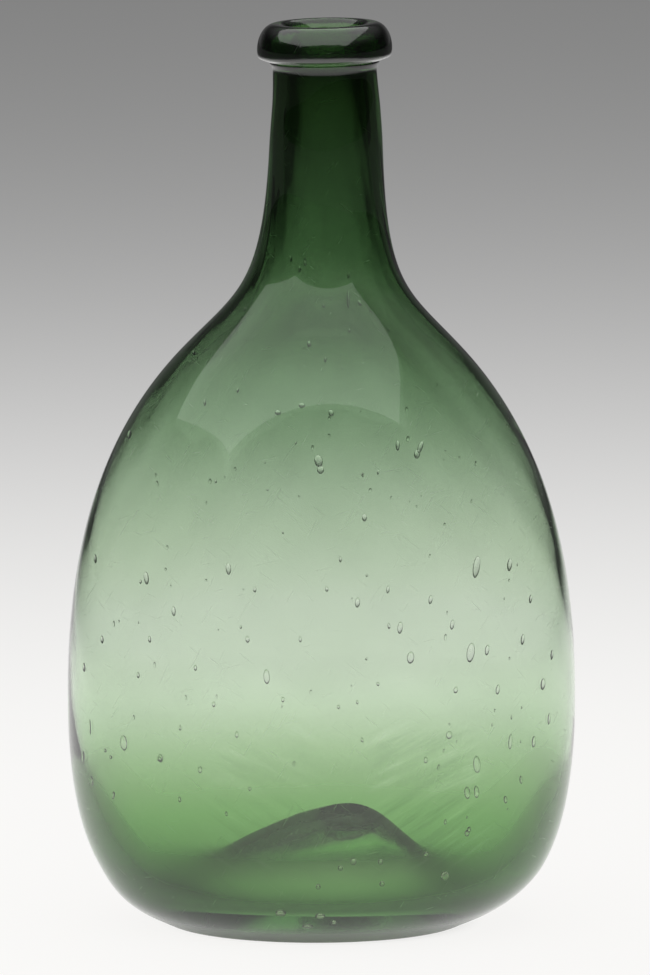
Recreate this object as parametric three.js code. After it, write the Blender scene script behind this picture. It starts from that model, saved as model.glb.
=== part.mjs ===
import * as THREE from 'three';

// A free blown chestnut flask in millimetres, standing on the floor with +Z up.
// The origin is on the floor under the middle of the body, and the flat of the body faces Y.
// Heights are stacked: each stage of the outline is measured up from the one below it.

// Foot: the body stands on a narrow flat ring, and the base is pushed up inside it.
const restRadius = 37.1;
const restLandWidth = 2.5;
const restShift = - 1.6;
const heelAngle = THREE.MathUtils.degToRad( 32.4 );
const kickHeight = 23.2;
const kickShift = 6.5;
const kickFootLean = THREE.MathUtils.degToRad( 8 );
const kickSlope = THREE.MathUtils.degToRad( 26 );
const padRadius = 8;

// Bulb: a broad belly that draws in to the shoulder.
const bellyRadius = 64.2;
const bellyHeight = 57;
const depthShare = 0.72;
const shoulderRadius = 35.2;
const shoulderRise = 90;
const shoulderAngle = THREE.MathUtils.degToRad( 46.6 );

// Neck: it sweeps out of the shoulder, then runs almost straight up to the lip.
const neckFootRadius = 14.3;
const neckFootRise = 50.3;
const neckFootAngle = THREE.MathUtils.degToRad( 2.4 );
const neckTopRadius = 13;
const neckLength = 22.2;
const neckShift = 1.2;

// Glass thickness, thick in the base and neck and thin where the bulb was blown out most.
const kickWall = 5;
const ringWall = 8;
const bellyWall = 1.4;
const shoulderWall = 2;
const neckFootWall = 3.1;
const boreRadius = 9.4;

// Lip: a ring of glass laid on the neck's cut end, widest low down and tooled smooth on top.
const lipHeight = 9.5;
const lipRadius = 16.95;
const lipDrop = 6.8;
const lipEdgeInset = 0.7;
const lipEdgeRise = 0.9;
const crestRadius = 12;
const crestLandWidth = 1.2;
const mouthDepth = 5;

// Pontil scar: the rough button of glass that broke off with the holding rod.
const scarRadius = 6.8;
const scarDepth = 2.4;
const scarRoughness = 0.5;

// How far each curve keeps its first and last direction, as shares of the span that it crosses.
const heelPullShares = [ 0.3, 0.92 ];
const upperPullShares = [ 0.29, 0.42 ];
const shoulderPullShares = [ 0.4, 0.7 ];
const neckPullShares = [ 1 / 3, 1 / 3 ];
const kickPullShares = [ 0.23, 0.83 ];
const floorPullShares = [ 0.3, 0.38 ];
const innerHeelPullShares = [ 0.5, 0.6 ];
const edgePullShares = [ 1 / 3, 1 / 3 ];
const crownPullShares = [ 0.6, 0.52 ];
const mouthPullShares = [ 0.6, 0.5 ];

// How far along the heel, from the floor, the inside of the wall turns up into the pushed-up base.
const valleyShare = 0.22;
// Where the flattened bulb gives way to the round neck, as shares of the neck foot's height.
const flattenShares = [ 0.6, 1 ];
// Where the neck's sideways shift sets in and is complete, as shares of the rise from shoulder to neck foot.
const neckShiftShares = [ - 0.5, 1.2 ];
// How high above the floor the foot's own shift has faded out, as a share of the belly's height.
const restShiftShare = 0.28;

// Facets
const turnSteps = 40;
const heelSteps = 11;
const upperSteps = 12;
const shoulderSteps = 12;
const neckSteps = 4;
const kickSteps = 7;
const crownSteps = 7;
const edgeSteps = 3;
const mouthSteps = 5;
const scarSteps = 4;

const shoulderHeight = bellyHeight + shoulderRise;
const neckFootHeight = shoulderHeight + neckFootRise;
const seatHeight = neckFootHeight + neckLength;
const flaskHeight = seatHeight + lipHeight;

// An S-shaped step from 0 at low to 1 at high.
function ease( value, low, high ) {

	return THREE.MathUtils.smoothstep( value, low, high );

}

// The unit direction that leans inwards from straight up by the given angle.
function leaning( angle ) {

	return new THREE.Vector2( - Math.sin( angle ), Math.cos( angle ) );

}

// A curve in radius and height from one point to the next, leaving along one way and arriving along another.
function sweep( start, startWay, end, endWay, span, pullShares ) {

	return new THREE.CubicBezierCurve(
		start,
		start.clone().addScaledVector( startWay, span * pullShares[ 0 ] ),
		end.clone().addScaledVector( endWay, - span * pullShares[ 1 ] ),
		end
	);

}

// The sideways shift of the flask's middle at a height: the foot leans one way and the neck the other.
function middleAt( height ) {

	const footFade = 1 - ease( height, 0, bellyHeight * restShiftShare );
	const neckLow = shoulderHeight + neckFootRise * neckShiftShares[ 0 ];
	const neckHigh = shoulderHeight + neckFootRise * neckShiftShares[ 1 ];
	return restShift * footFade + neckShift * ease( height, neckLow, neckHigh );

}

// Depth over width at a height: the bulb is flattened and the neck is round.
function depthAt( height ) {

	const roundness = ease( height, neckFootHeight * flattenShares[ 0 ], neckFootHeight * flattenShares[ 1 ] );
	return THREE.MathUtils.lerp( depthShare, 1, roundness );

}

// One ring of the outside, or of the inside at a level distance of inset from the outside.
// The inset is the same along X and Y, so the flattened bulb's wall is even.
function wallRing( point, inset = 0 ) {

	const share = depthAt( point.y );
	return {
		halfWidth: point.x,
		halfDepth: share * ( point.x + inset ) - inset,
		middle: middleAt( point.y ),
		height: point.y
	};

}

// One ring of the pushed-up base, which grows round and moves sideways from its foot to its top.
function kickRing( point, foot, top ) {

	const lift = ( point.y - foot ) / ( top - foot );
	return {
		halfWidth: point.x,
		halfDepth: point.x * THREE.MathUtils.lerp( depthShare, 1, lift ** 3 ),
		middle: middleAt( point.y ) + kickShift * lift ** 2,
		height: point.y
	};

}

// A closed body turned from a list of rings, each an ellipse at its own height.
function turn( rings ) {

	const outline = rings.map( ( ring ) => new THREE.Vector2( ring.halfWidth, ring.height ) );
	const geometry = new THREE.LatheGeometry( outline, turnSteps );
	const position = geometry.attributes.position;
	for ( let index = 0; index < position.count; index ++ ) {

		const ring = rings[ index % rings.length ];
		const step = Math.floor( index / rings.length ) % turnSteps;
		const angle = 2 * Math.PI * step / turnSteps;
		const x = ring.middle + ring.halfWidth * Math.cos( angle );
		const y = ring.halfDepth * Math.sin( angle );
		position.setXYZ( index, x, y, ring.height );

	}

	return geometry;

}

// The outside of the wall from the floor to the lip's seat, stage by stage, with the glass at each end.
function wallStages() {

	const up = leaning( 0 );
	const rest = new THREE.Vector2( restRadius, 0 );
	const belly = new THREE.Vector2( bellyRadius, bellyHeight );
	const shoulder = new THREE.Vector2( shoulderRadius, shoulderHeight );
	const neckFoot = new THREE.Vector2( neckFootRadius, neckFootHeight );
	const neckTop = new THREE.Vector2( neckTopRadius, seatHeight );
	const heelOut = new THREE.Vector2( Math.cos( heelAngle ), Math.sin( heelAngle ) );
	const heel = new THREE.CubicBezierCurve(
		rest,
		rest.clone().addScaledVector( heelOut, ( bellyRadius - restRadius ) * heelPullShares[ 0 ] ),
		belly.clone().addScaledVector( up, - bellyHeight * heelPullShares[ 1 ] ),
		belly
	);
	const shoulderWay = leaning( Math.PI / 2 - shoulderAngle );
	const neckWay = leaning( neckFootAngle );
	const upper = sweep( belly, up, shoulder, shoulderWay, shoulderRise, upperPullShares );
	const sweepUp = sweep( shoulder, shoulderWay, neckFoot, neckWay, neckFootRise, shoulderPullShares );
	const neck = sweep( neckFoot, neckWay, neckTop, up, neckLength, neckPullShares );
	return {
		heel,
		blown: [
			{ curve: upper, steps: upperSteps, walls: [ bellyWall, shoulderWall ] },
			{ curve: sweepUp, steps: shoulderSteps, walls: [ shoulderWall, neckFootWall ] },
			{ curve: neck, steps: neckSteps, walls: [ neckFootWall, neckTopRadius - boreRadius ] }
		]
	};

}

// The inside of one blown stage: each outside point moved square to the curve by the glass there.
function insideRings( stage ) {

	const rings = [];
	for ( let step = 0; step <= stage.steps; step ++ ) {

		const along = step / stage.steps;
		const wall = THREE.MathUtils.lerp( stage.walls[ 0 ], stage.walls[ 1 ], along );
		const tangent = stage.curve.getTangent( along );
		const point = stage.curve.getPoint( along );
		point.x -= wall * tangent.y;
		point.y += wall * tangent.x;
		rings.push( wallRing( point, wall * tangent.y ) );

	}

	return rings;

}

// Bulb, neck and pushed-up base, blown as one piece and open at the mouth.
function makeBody() {

	const { heel, blown } = wallStages();
	const inwards = new THREE.Vector2( - 1, 0 );
	const down = new THREE.Vector2( 0, - 1 );
	const padEdge = new THREE.Vector2( padRadius, kickHeight );
	const ringInner = new THREE.Vector2( restRadius - restLandWidth, 0 );
	const kickSpan = ringInner.x - padRadius;
	const kickFoot = leaning( kickFootLean );
	const kickTop = leaning( Math.PI / 2 - kickSlope );
	const kick = sweep( ringInner, kickFoot, padEdge, kickTop, kickSpan, kickPullShares );

	const valley = heel.getPoint( valleyShare );
	const heelTangent = heel.getTangent( valleyShare );
	valley.x -= ringWall * heelTangent.y;
	valley.y += ringWall * heelTangent.x;
	const floorHeight = kickHeight + kickWall;
	const floorMiddle = new THREE.Vector2( 0, floorHeight );
	const innerBelly = new THREE.Vector2( bellyRadius - bellyWall, bellyHeight );
	const innerHeel = new THREE.CubicBezierCurve(
		innerBelly,
		innerBelly.clone().addScaledVector( down, ( bellyHeight - valley.y ) * innerHeelPullShares[ 0 ] ),
		valley.clone().addScaledVector( inwards, - ( innerBelly.x - valley.x ) * innerHeelPullShares[ 1 ] ),
		valley
	);
	const innerFloor = new THREE.CubicBezierCurve(
		valley,
		valley.clone().addScaledVector( inwards, valley.x * floorPullShares[ 0 ] ),
		floorMiddle.clone().addScaledVector( inwards, - valley.x * floorPullShares[ 1 ] ),
		floorMiddle
	);

	const rings = [];
	rings.push( kickRing( new THREE.Vector2( 0, kickHeight ), 0, kickHeight ) );
	for ( const point of kick.getPoints( kickSteps ).reverse() ) {

		rings.push( kickRing( point, 0, kickHeight ) );

	}

	for ( const point of heel.getPoints( heelSteps ) ) {

		rings.push( wallRing( point ) );

	}

	for ( const stage of blown ) {

		for ( const point of stage.curve.getPoints( stage.steps ).slice( 1 ) ) {

			rings.push( wallRing( point ) );

		}

	}

	for ( const stage of [ ...blown ].reverse() ) {

		const stageRings = insideRings( stage ).reverse();
		rings.push( ...stageRings.slice( 0, stage.steps ) );

	}

	for ( const point of innerHeel.getPoints( heelSteps ) ) {

		rings.push( wallRing( point, bellyWall ) );

	}

	for ( const point of innerFloor.getPoints( kickSteps ).slice( 1 ) ) {

		rings.push( kickRing( point, valley.y, floorHeight ) );

	}

	return turn( rings );

}

// The ring of glass laid on the neck's end.
function makeLip() {

	const up = leaning( 0 );
	const down = new THREE.Vector2( 0, - 1 );
	const outwards = new THREE.Vector2( 1, 0 );
	const inwards = new THREE.Vector2( - 1, 0 );
	const edge = new THREE.Vector2( lipRadius - lipEdgeInset, seatHeight + lipEdgeRise );
	const widest = new THREE.Vector2( lipRadius, flaskHeight - lipDrop );
	const crestOuter = new THREE.Vector2( crestRadius + crestLandWidth / 2, flaskHeight );
	const crestInner = new THREE.Vector2( crestRadius - crestLandWidth / 2, flaskHeight );
	const mouthLow = new THREE.Vector2( boreRadius, flaskHeight - mouthDepth );
	const edgeSpan = widest.y - edge.y;
	const lowerEdge = sweep( edge, outwards, widest, up, edgeSpan, edgePullShares );
	const crown = new THREE.CubicBezierCurve(
		widest,
		widest.clone().addScaledVector( up, lipDrop * crownPullShares[ 0 ] ),
		crestOuter.clone().addScaledVector( outwards, ( lipRadius - crestOuter.x ) * crownPullShares[ 1 ] ),
		crestOuter
	);
	const mouth = new THREE.CubicBezierCurve(
		crestInner,
		crestInner.clone().addScaledVector( inwards, ( crestInner.x - boreRadius ) * mouthPullShares[ 0 ] ),
		mouthLow.clone().addScaledVector( down, - mouthDepth * mouthPullShares[ 1 ] ),
		mouthLow
	);

	const points = [
		new THREE.Vector2( boreRadius, seatHeight ),
		new THREE.Vector2( neckTopRadius, seatHeight ),
		...lowerEdge.getPoints( edgeSteps ),
		...crown.getPoints( crownSteps ).slice( 1 ),
		...mouth.getPoints( mouthSteps ),
		new THREE.Vector2( boreRadius, seatHeight )
	];
	return turn( points.map( ( point ) => wallRing( point ) ) );

}

// The rough button under the pushed-up base. Its flat top is fused to the pad there.
function makeScar() {

	const middle = middleAt( kickHeight ) + kickShift;
	const round = ( radius, height ) => ( { halfWidth: radius, halfDepth: radius, middle, height } );
	const rings = [];
	for ( let step = 0; step <= scarSteps; step ++ ) {

		const across = step / scarSteps;
		const depth = scarDepth * ( 1 - across ** 2 / 2 );
		rings.push( round( scarRadius * across, kickHeight - depth ) );

	}

	rings.push( round( scarRadius, kickHeight ), round( 0, kickHeight ) );

	const geometry = turn( rings );
	const position = geometry.attributes.position;
	for ( let index = 0; index < position.count; index ++ ) {

		const ring = index % rings.length;
		const step = Math.floor( index / rings.length ) % turnSteps;
		const angle = 2 * Math.PI * step / turnSteps;
		const broadChips = Math.sin( 3 * angle + ring ) / 2;
		const fineChips = Math.sin( 7 * angle - 2 * ring ) / 4 + Math.cos( 11 * angle ) / 4;
		const broken = ring > 0 && ring <= scarSteps;
		const drop = broken ? scarRoughness * ( broadChips + fineChips ) : 0;
		position.setZ( index, position.getZ( index ) + drop );

	}

	return geometry;

}

const glass = { color: 0x6f8f52, roughness: 0.06, metalness: 0, transparent: true, opacity: 0.55 };
const bodyGlass = new THREE.MeshStandardMaterial( { ...glass } );
const lipGlass = new THREE.MeshStandardMaterial( { ...glass, color: 0x34502c, roughness: 0.1 } );
const scarGlass = new THREE.MeshStandardMaterial( { ...glass, color: 0x86a86c, roughness: 0.5 } );

const flask = new THREE.Group();
const pieces = {
	flask_body: [ makeBody(), bodyGlass ],
	applied_lip: [ makeLip(), lipGlass ],
	pontil_scar: [ makeScar(), scarGlass ]
};
for ( const [ name, [ geometry, material ] ] of Object.entries( pieces ) ) {

	const mesh = new THREE.Mesh( geometry, material );
	mesh.name = name;
	flask.add( mesh );

}

export default flask;
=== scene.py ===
"""A free blown chestnut flask of clear green glass, standing on a pale table.

The construction model is loaded first, as a fixed frame. Three pieces of glass then stand for its three
solids: the body, blown from one gather with its pushed-up base, the ring laid round the neck's end, and the
rough scar under the base. Each is turned from rings, with the glass as thick as in the solids.
"""

import logging
import math
from dataclasses import astuple, dataclass
from enum import Enum, IntEnum
from functools import reduce

import bpy
import numpy as np
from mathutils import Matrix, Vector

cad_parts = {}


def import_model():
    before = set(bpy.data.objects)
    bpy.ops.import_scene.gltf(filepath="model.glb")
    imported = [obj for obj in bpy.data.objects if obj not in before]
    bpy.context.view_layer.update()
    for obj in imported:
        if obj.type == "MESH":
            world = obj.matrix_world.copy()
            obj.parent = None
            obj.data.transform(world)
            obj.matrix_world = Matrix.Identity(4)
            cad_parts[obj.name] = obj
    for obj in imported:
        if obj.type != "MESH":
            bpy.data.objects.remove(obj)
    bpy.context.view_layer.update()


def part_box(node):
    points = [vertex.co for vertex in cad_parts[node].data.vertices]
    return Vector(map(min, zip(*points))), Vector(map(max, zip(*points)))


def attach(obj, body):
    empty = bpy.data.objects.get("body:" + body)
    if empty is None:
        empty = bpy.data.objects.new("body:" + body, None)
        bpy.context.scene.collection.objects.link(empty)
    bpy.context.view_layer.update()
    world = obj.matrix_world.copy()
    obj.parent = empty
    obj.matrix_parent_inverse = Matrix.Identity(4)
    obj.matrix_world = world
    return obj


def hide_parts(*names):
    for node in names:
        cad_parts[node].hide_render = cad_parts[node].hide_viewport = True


LOG = logging.getLogger("chestnut_flask")
MM = 0.001
DULL = "dull"
AIRY = "airy"
WHITE = (1.0, 1.0, 1.0, 1.0)

Span = tuple[float, float]
Triple = tuple[float, float, float]
Colour = tuple[float, float, float, float]


def ease(values: np.ndarray, low: float, high: float) -> np.ndarray:
    """An S-shaped step.

    Formula: 3 t squared minus 2 t cubed, where t runs from 0 at low to 1 at high and is held at both ends.

    Args:
        values: where the step is wanted.
        low: the value at which it leaves 0.
        high: the value at which it reaches 1.

    Returns:
        Numbers from 0 to 1, in the shape of values.
    """
    share = np.clip((np.asarray(values, float) - low) / (high - low), 0.0, 1.0)
    return share * share * (3.0 - 2.0 * share)


def lerp(start: np.ndarray | float, end: np.ndarray | float, share: np.ndarray) -> np.ndarray:
    """Start plus share times the way from start to end."""
    return start + (end - start) * share


def leaning(angle: float) -> np.ndarray:
    """The unit direction, in radius and height, that leans inwards from straight up by an angle."""
    return np.array([-math.sin(angle), math.cos(angle)])


UP = leaning(0.0)
OUT = np.array([1.0, 0.0])


def linked(name: str, data: bpy.types.ID) -> bpy.types.Object:
    """A new object of the scene, for a mesh, lamp or camera."""
    made = bpy.data.objects.new(name, data)
    bpy.context.scene.collection.objects.link(made)
    return made


@dataclass(frozen=True)
class FlaskSizes:
    """The flask's sizes in metres and radians.

    The first five come from the solids of the frame. The rest are the construction model's own driving sizes.
    """

    belly_radius: float
    depth_share: float
    seat_height: float
    flask_height: float
    lip_radius: float

    rest_radius: float = 37.1 * MM
    rest_land: float = 2.5 * MM
    rest_shift: float = -1.6 * MM
    rest_shift_share: float = 0.28
    heel_angle: float = math.radians(32.4)
    belly_height: float = 57.0 * MM

    kick_height: float = 23.2 * MM
    kick_shift: float = 6.5 * MM
    kick_foot_lean: float = math.radians(8.0)
    kick_slope: float = math.radians(26.0)
    pad_radius: float = 8.0 * MM

    shoulder_radius: float = 35.2 * MM
    shoulder_angle: float = math.radians(46.6)
    neck_foot_radius: float = 14.3 * MM
    neck_foot_rise: float = 50.3 * MM
    neck_foot_angle: float = math.radians(2.4)
    neck_top_radius: float = 13.0 * MM
    neck_length: float = 22.2 * MM
    neck_shift: float = 1.2 * MM

    kick_wall: float = 5.0 * MM
    ring_wall: float = 8.0 * MM
    belly_wall: float = 1.4 * MM
    shoulder_wall: float = 2.0 * MM
    neck_foot_wall: float = 3.1 * MM
    bore_radius: float = 9.4 * MM

    @classmethod
    def from_frame(cls) -> "FlaskSizes":
        """The sizes, with the reach of the body and the lip read from the frame."""
        low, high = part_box("flask_body")
        lip_low, lip_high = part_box("applied_lip")
        return cls(
            belly_radius=(high.x - low.x) / 2,
            depth_share=(high.y - low.y) / (high.x - low.x),
            seat_height=high.z,
            flask_height=lip_high.z,
            lip_radius=(lip_high.x - lip_low.x) / 2,
        )

    @property
    def neck_foot_height(self) -> float:
        """Where the neck starts to run straight up."""
        return self.seat_height - self.neck_length

    @property
    def shoulder_height(self) -> float:
        """Where the shoulder turns up into the neck."""
        return self.neck_foot_height - self.neck_foot_rise


@dataclass(frozen=True)
class Sweep:
    """A cubic curve in radius and height.

    Formula: (1-t)^3 a + 3 t (1-t)^2 b + 3 t^2 (1-t) c + t^3 d, where t runs from 0 to 1.
    """

    corners: np.ndarray

    @classmethod
    def between(cls, start: np.ndarray, start_way: np.ndarray, end: np.ndarray, end_way: np.ndarray,
                spans: Span, pulls: Span) -> "Sweep":
        """A curve that leaves its start along one way and arrives at its end along another.

        Args:
            start: first point, as radius and height.
            start_way: unit direction at the start.
            end: last point.
            end_way: unit direction at the end.
            spans: the lengths, at the start and the end, that the pulls are shares of.
            pulls: how far the curve keeps its first and last direction.

        Returns:
            The curve.
        """
        leave = start + start_way * spans[0] * pulls[0]
        arrive = end - end_way * spans[1] * pulls[1]
        return cls(np.array([start, leave, arrive, end]))

    def points(self, share: np.ndarray) -> np.ndarray:
        """Points at the given shares of the curve, one row each."""
        t = np.asarray(share, float)[:, None]
        a, b, c, d = self.corners
        return (1 - t) ** 3 * a + 3 * t * (1 - t) ** 2 * b + 3 * t ** 2 * (1 - t) * c + t ** 3 * d

    def ways(self, share: np.ndarray) -> np.ndarray:
        """Unit directions at the given shares, from the curve's derivative."""
        t = np.asarray(share, float)[:, None]
        a, b, c, d = self.corners
        slope = (1 - t) ** 2 * (b - a) + 2 * t * (1 - t) * (c - b) + t ** 2 * (d - c)
        return slope / np.linalg.norm(slope, axis=1, keepdims=True)

    def inset(self, share: np.ndarray, wall: np.ndarray | float) -> np.ndarray:
        """Points on the left of the curve, as far from it as the wall is thick."""
        way = self.ways(share)
        return self.points(share) + wall * np.stack([-way[:, 1], way[:, 0]], axis=1)


class Column(IntEnum):
    """The columns of a table of rings."""

    HALF_WIDTH = 0
    HALF_DEPTH = 1
    MIDDLE = 2
    HEIGHT = 3


PROFILE = [Column.HALF_WIDTH, Column.HEIGHT]


class BlownForm:
    """The flask's rings, stage by stage, with the same curves as its solids."""

    samples = 400
    heel_pulls = (0.3, 0.92)
    upper_pulls = (0.29, 0.42)
    shoulder_pulls = (0.4, 0.7)
    neck_pulls = (1 / 3, 1 / 3)
    kick_pulls = (0.23, 0.83)
    floor_pulls = (0.3, 0.38)
    inner_heel_pulls = (0.5, 0.6)
    valley_share = 0.22
    flatten_shares = (0.6, 1.0)
    neck_shift_shares = (-0.5, 1.2)
    cove_flare = 0.8 * MM
    cove_height = 3.2 * MM

    def __init__(self, sizes: FlaskSizes) -> None:
        """Works out the outside curves.

        Args:
            sizes: the flask's sizes.
        """
        self.sizes = s = sizes
        self.share = np.linspace(0.0, 1.0, self.samples)
        rest = np.array([s.rest_radius, 0.0])
        belly = np.array([s.belly_radius, s.belly_height])
        shoulder = np.array([s.shoulder_radius, s.shoulder_height])
        foot = np.array([s.neck_foot_radius, s.neck_foot_height])
        top = np.array([s.neck_top_radius, s.seat_height])
        shoulder_way = leaning(math.pi / 2 - s.shoulder_angle)
        foot_way = leaning(s.neck_foot_angle)
        heel_out = np.array([math.cos(s.heel_angle), math.sin(s.heel_angle)])
        heel_spans = (s.belly_radius - s.rest_radius, s.belly_height)
        upper_spans = (s.shoulder_height - s.belly_height,) * 2
        sweep_spans, neck_spans = (s.neck_foot_rise,) * 2, (s.neck_length,) * 2
        self.heel = Sweep.between(rest, heel_out, belly, UP, heel_spans, self.heel_pulls)
        upper = Sweep.between(belly, UP, shoulder, shoulder_way, upper_spans, self.upper_pulls)
        sweep_up = Sweep.between(shoulder, shoulder_way, foot, foot_way, sweep_spans, self.shoulder_pulls)
        neck = Sweep.between(foot, foot_way, top, UP, neck_spans, self.neck_pulls)
        self.blown = (
            (upper, s.belly_wall, s.shoulder_wall),
            (sweep_up, s.shoulder_wall, s.neck_foot_wall),
            (neck, s.neck_foot_wall, s.neck_top_radius - s.bore_radius),
        )

    def middle_at(self, height: np.ndarray) -> np.ndarray:
        """The sideways shift of the flask's middle: the foot leans one way and the neck the other."""
        s = self.sizes
        foot_fade = 1.0 - ease(height, 0.0, s.belly_height * s.rest_shift_share)
        low, high = (s.shoulder_height + s.neck_foot_rise * share for share in self.neck_shift_shares)
        return s.rest_shift * foot_fade + s.neck_shift * ease(height, low, high)

    def wall_rings(self, points: np.ndarray, inset: np.ndarray | float = 0.0) -> np.ndarray:
        """Rings of the wall, flattened in the bulb and round in the neck.

        Formula: half depth is the depth share times (radius plus inset), less the inset, so the wall is even.

        Args:
            points: radius and height, one row each.
            inset: how far inside the outer surface each point lies, level.

        Returns:
            A table of rings.
        """
        s = self.sizes
        radius, height = points.T
        low, high = (s.neck_foot_height * share for share in self.flatten_shares)
        share = lerp(s.depth_share, 1.0, ease(height, low, high))
        return np.stack([radius, share * (radius + inset) - inset, self.middle_at(height), height], axis=1)

    def kick_rings(self, points: np.ndarray, foot: float, top: float) -> np.ndarray:
        """Rings of the pushed-up base.

        Formula: lift is the height over the foot, as a share of the rise to the top. The depth share goes to
        1 with lift cubed, and the middle moves sideways with lift squared.

        Args:
            points: radius and height, one row each.
            foot: the height at which the base starts to rise.
            top: the height at which it ends.

        Returns:
            A table of rings.
        """
        s = self.sizes
        radius, height = points.T
        lift = (height - foot) / (top - foot)
        depth = radius * lerp(s.depth_share, 1.0, lift ** 3)
        return np.stack([radius, depth, self.middle_at(height) + s.kick_shift * lift ** 2, height], axis=1)

    def underside(self) -> np.ndarray:
        """The pushed-up base seen from below, from its axis out to the resting ring."""
        s = self.sizes
        edge = np.array([s.pad_radius, s.kick_height])
        ring_inner = np.array([s.rest_radius - s.rest_land, 0.0])
        spans = (ring_inner[0] - s.pad_radius,) * 2
        top_way = leaning(math.pi / 2 - s.kick_slope)
        kick = Sweep.between(ring_inner, leaning(s.kick_foot_lean), edge, top_way, spans, self.kick_pulls)
        pad = np.stack([lerp(0.0, s.pad_radius, self.share), np.full(self.samples, s.kick_height)], axis=1)
        slope = kick.points(self.share[::-1])
        return self.kick_rings(np.vstack([pad, slope[1:]]), 0.0, s.kick_height)

    def outside(self) -> np.ndarray:
        """The outer wall from the resting ring to the lip's seat, flared into a cove at its top."""
        s = self.sizes
        stages = [self.heel.points(self.share)]
        stages += [curve.points(self.share)[1:] for curve, _, _ in self.blown]
        points = np.vstack(stages)
        flare = ease(points[:, 1], s.seat_height - self.cove_height, s.seat_height)
        points[:, 0] += self.cove_flare * flare ** 2
        return self.wall_rings(points)

    def inside(self) -> np.ndarray:
        """The inner wall from the lip's seat down to the valley, then over the inner floor to the axis."""
        s = self.sizes
        rings = []
        for curve, first_wall, last_wall in reversed(self.blown):
            wall = lerp(first_wall, last_wall, self.share)
            points = curve.inset(self.share, wall[:, None])
            rings.append(self.wall_rings(points, wall * curve.ways(self.share)[:, 1])[::-1])
        valley = self.heel.inset([self.valley_share], s.ring_wall)[0]
        belly = np.array([s.belly_radius - s.belly_wall, s.belly_height])
        heel_spans = (s.belly_height - valley[1], belly[0] - valley[0])
        heel = Sweep.between(belly, -UP, valley, -OUT, heel_spans, self.inner_heel_pulls)
        rings.append(self.wall_rings(heel.points(self.share), s.belly_wall))
        middle = np.array([0.0, s.kick_height + s.kick_wall])
        floor = Sweep.between(valley, -OUT, middle, -OUT, (valley[0],) * 2, self.floor_pulls)
        rings.append(self.kick_rings(floor.points(self.share)[1:], valley[1], middle[1]))
        return np.vstack(rings)


@dataclass(frozen=True)
class RingTable:
    """Turns a fine table of rings into one with soft corners and few rows.

    Corners are softened at an even spacing and spread over the soft radius. Of the rings, those are kept that
    lie between the finest and the coarsest step apart, as far as the profile turns by the turn step.
    """

    spacing: float
    soft_radius: float
    finest: float
    coarsest: float
    turn_step: float
    bell_reach: float = 3.0
    least_gap: float = 1e-9
    least_turning: float = 1e-6

    @staticmethod
    def _lengths(rings: np.ndarray) -> np.ndarray:
        """Length along the profile from its start to each ring."""
        steps = np.linalg.norm(np.diff(rings[:, PROFILE], axis=0), axis=1)
        return np.concatenate([[0.0], np.cumsum(steps)])

    @staticmethod
    def _at(rings: np.ndarray, lengths: np.ndarray, wanted: np.ndarray) -> np.ndarray:
        """The rings at the wanted lengths."""
        return np.stack([np.interp(wanted, lengths, column) for column in rings.T], axis=1)

    def softened(self, rings: np.ndarray, softness: np.ndarray) -> np.ndarray:
        """Spreads each corner with a bell-shaped average along the profile.

        Formula: each ring becomes the average of its neighbours, weighted by
        exp(-(distance/soft radius)^2 / 2), and is mixed with the ring as it was by the softness there.

        Args:
            rings: a table of rings.
            softness: 1 where corners are soft and 0 where they stay sharp, one number a ring.

        Returns:
            Rings at even steps along the profile.
        """
        lengths = self._lengths(rings)
        keep = np.concatenate([[True], np.diff(lengths) > self.least_gap])
        rings, lengths, softness = rings[keep], lengths[keep], softness[keep]
        wanted = np.linspace(0.0, lengths[-1], int(lengths[-1] / self.spacing))
        even = self._at(rings, lengths, wanted)
        reach = int(self.bell_reach * self.soft_radius / self.spacing)
        bell = np.exp(-0.5 * (np.arange(-reach, reach + 1) * self.spacing / self.soft_radius) ** 2)
        bell /= bell.sum()
        padded = np.pad(even, ((reach, reach), (0, 0)), mode="reflect", reflect_type="odd")
        smooth = np.stack([np.convolve(column, bell, mode="valid") for column in padded.T], axis=1)
        return even + (smooth - even) * np.interp(wanted, lengths, softness)[:, None]

    def thinned(self, rings: np.ndarray) -> np.ndarray:
        """Keeps rings close together where the profile turns and further apart where it runs straight.

        Args:
            rings: rings at even steps.

        Returns:
            The kept rings.
        """
        lengths = self._lengths(rings)
        heading = np.unwrap(np.arctan2(*np.diff(rings[:, PROFILE], axis=0).T))
        turning = np.abs(np.gradient(heading)) / self.spacing
        turning = np.append(turning, turning[-1])
        step = np.clip(self.turn_step / np.maximum(turning, self.least_turning), self.finest, self.coarsest)
        count = np.concatenate([[0.0], np.cumsum(np.diff(lengths) / step[1:])])
        wanted = np.interp(np.linspace(0.0, count[-1], int(count[-1]) + 1), count, lengths)
        return self._at(rings, lengths, wanted)


class Closure(Enum):
    """How a turned surface is closed."""

    POLES = "both ends lie on the axis"
    LOOP = "the profile comes back to its start"


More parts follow.
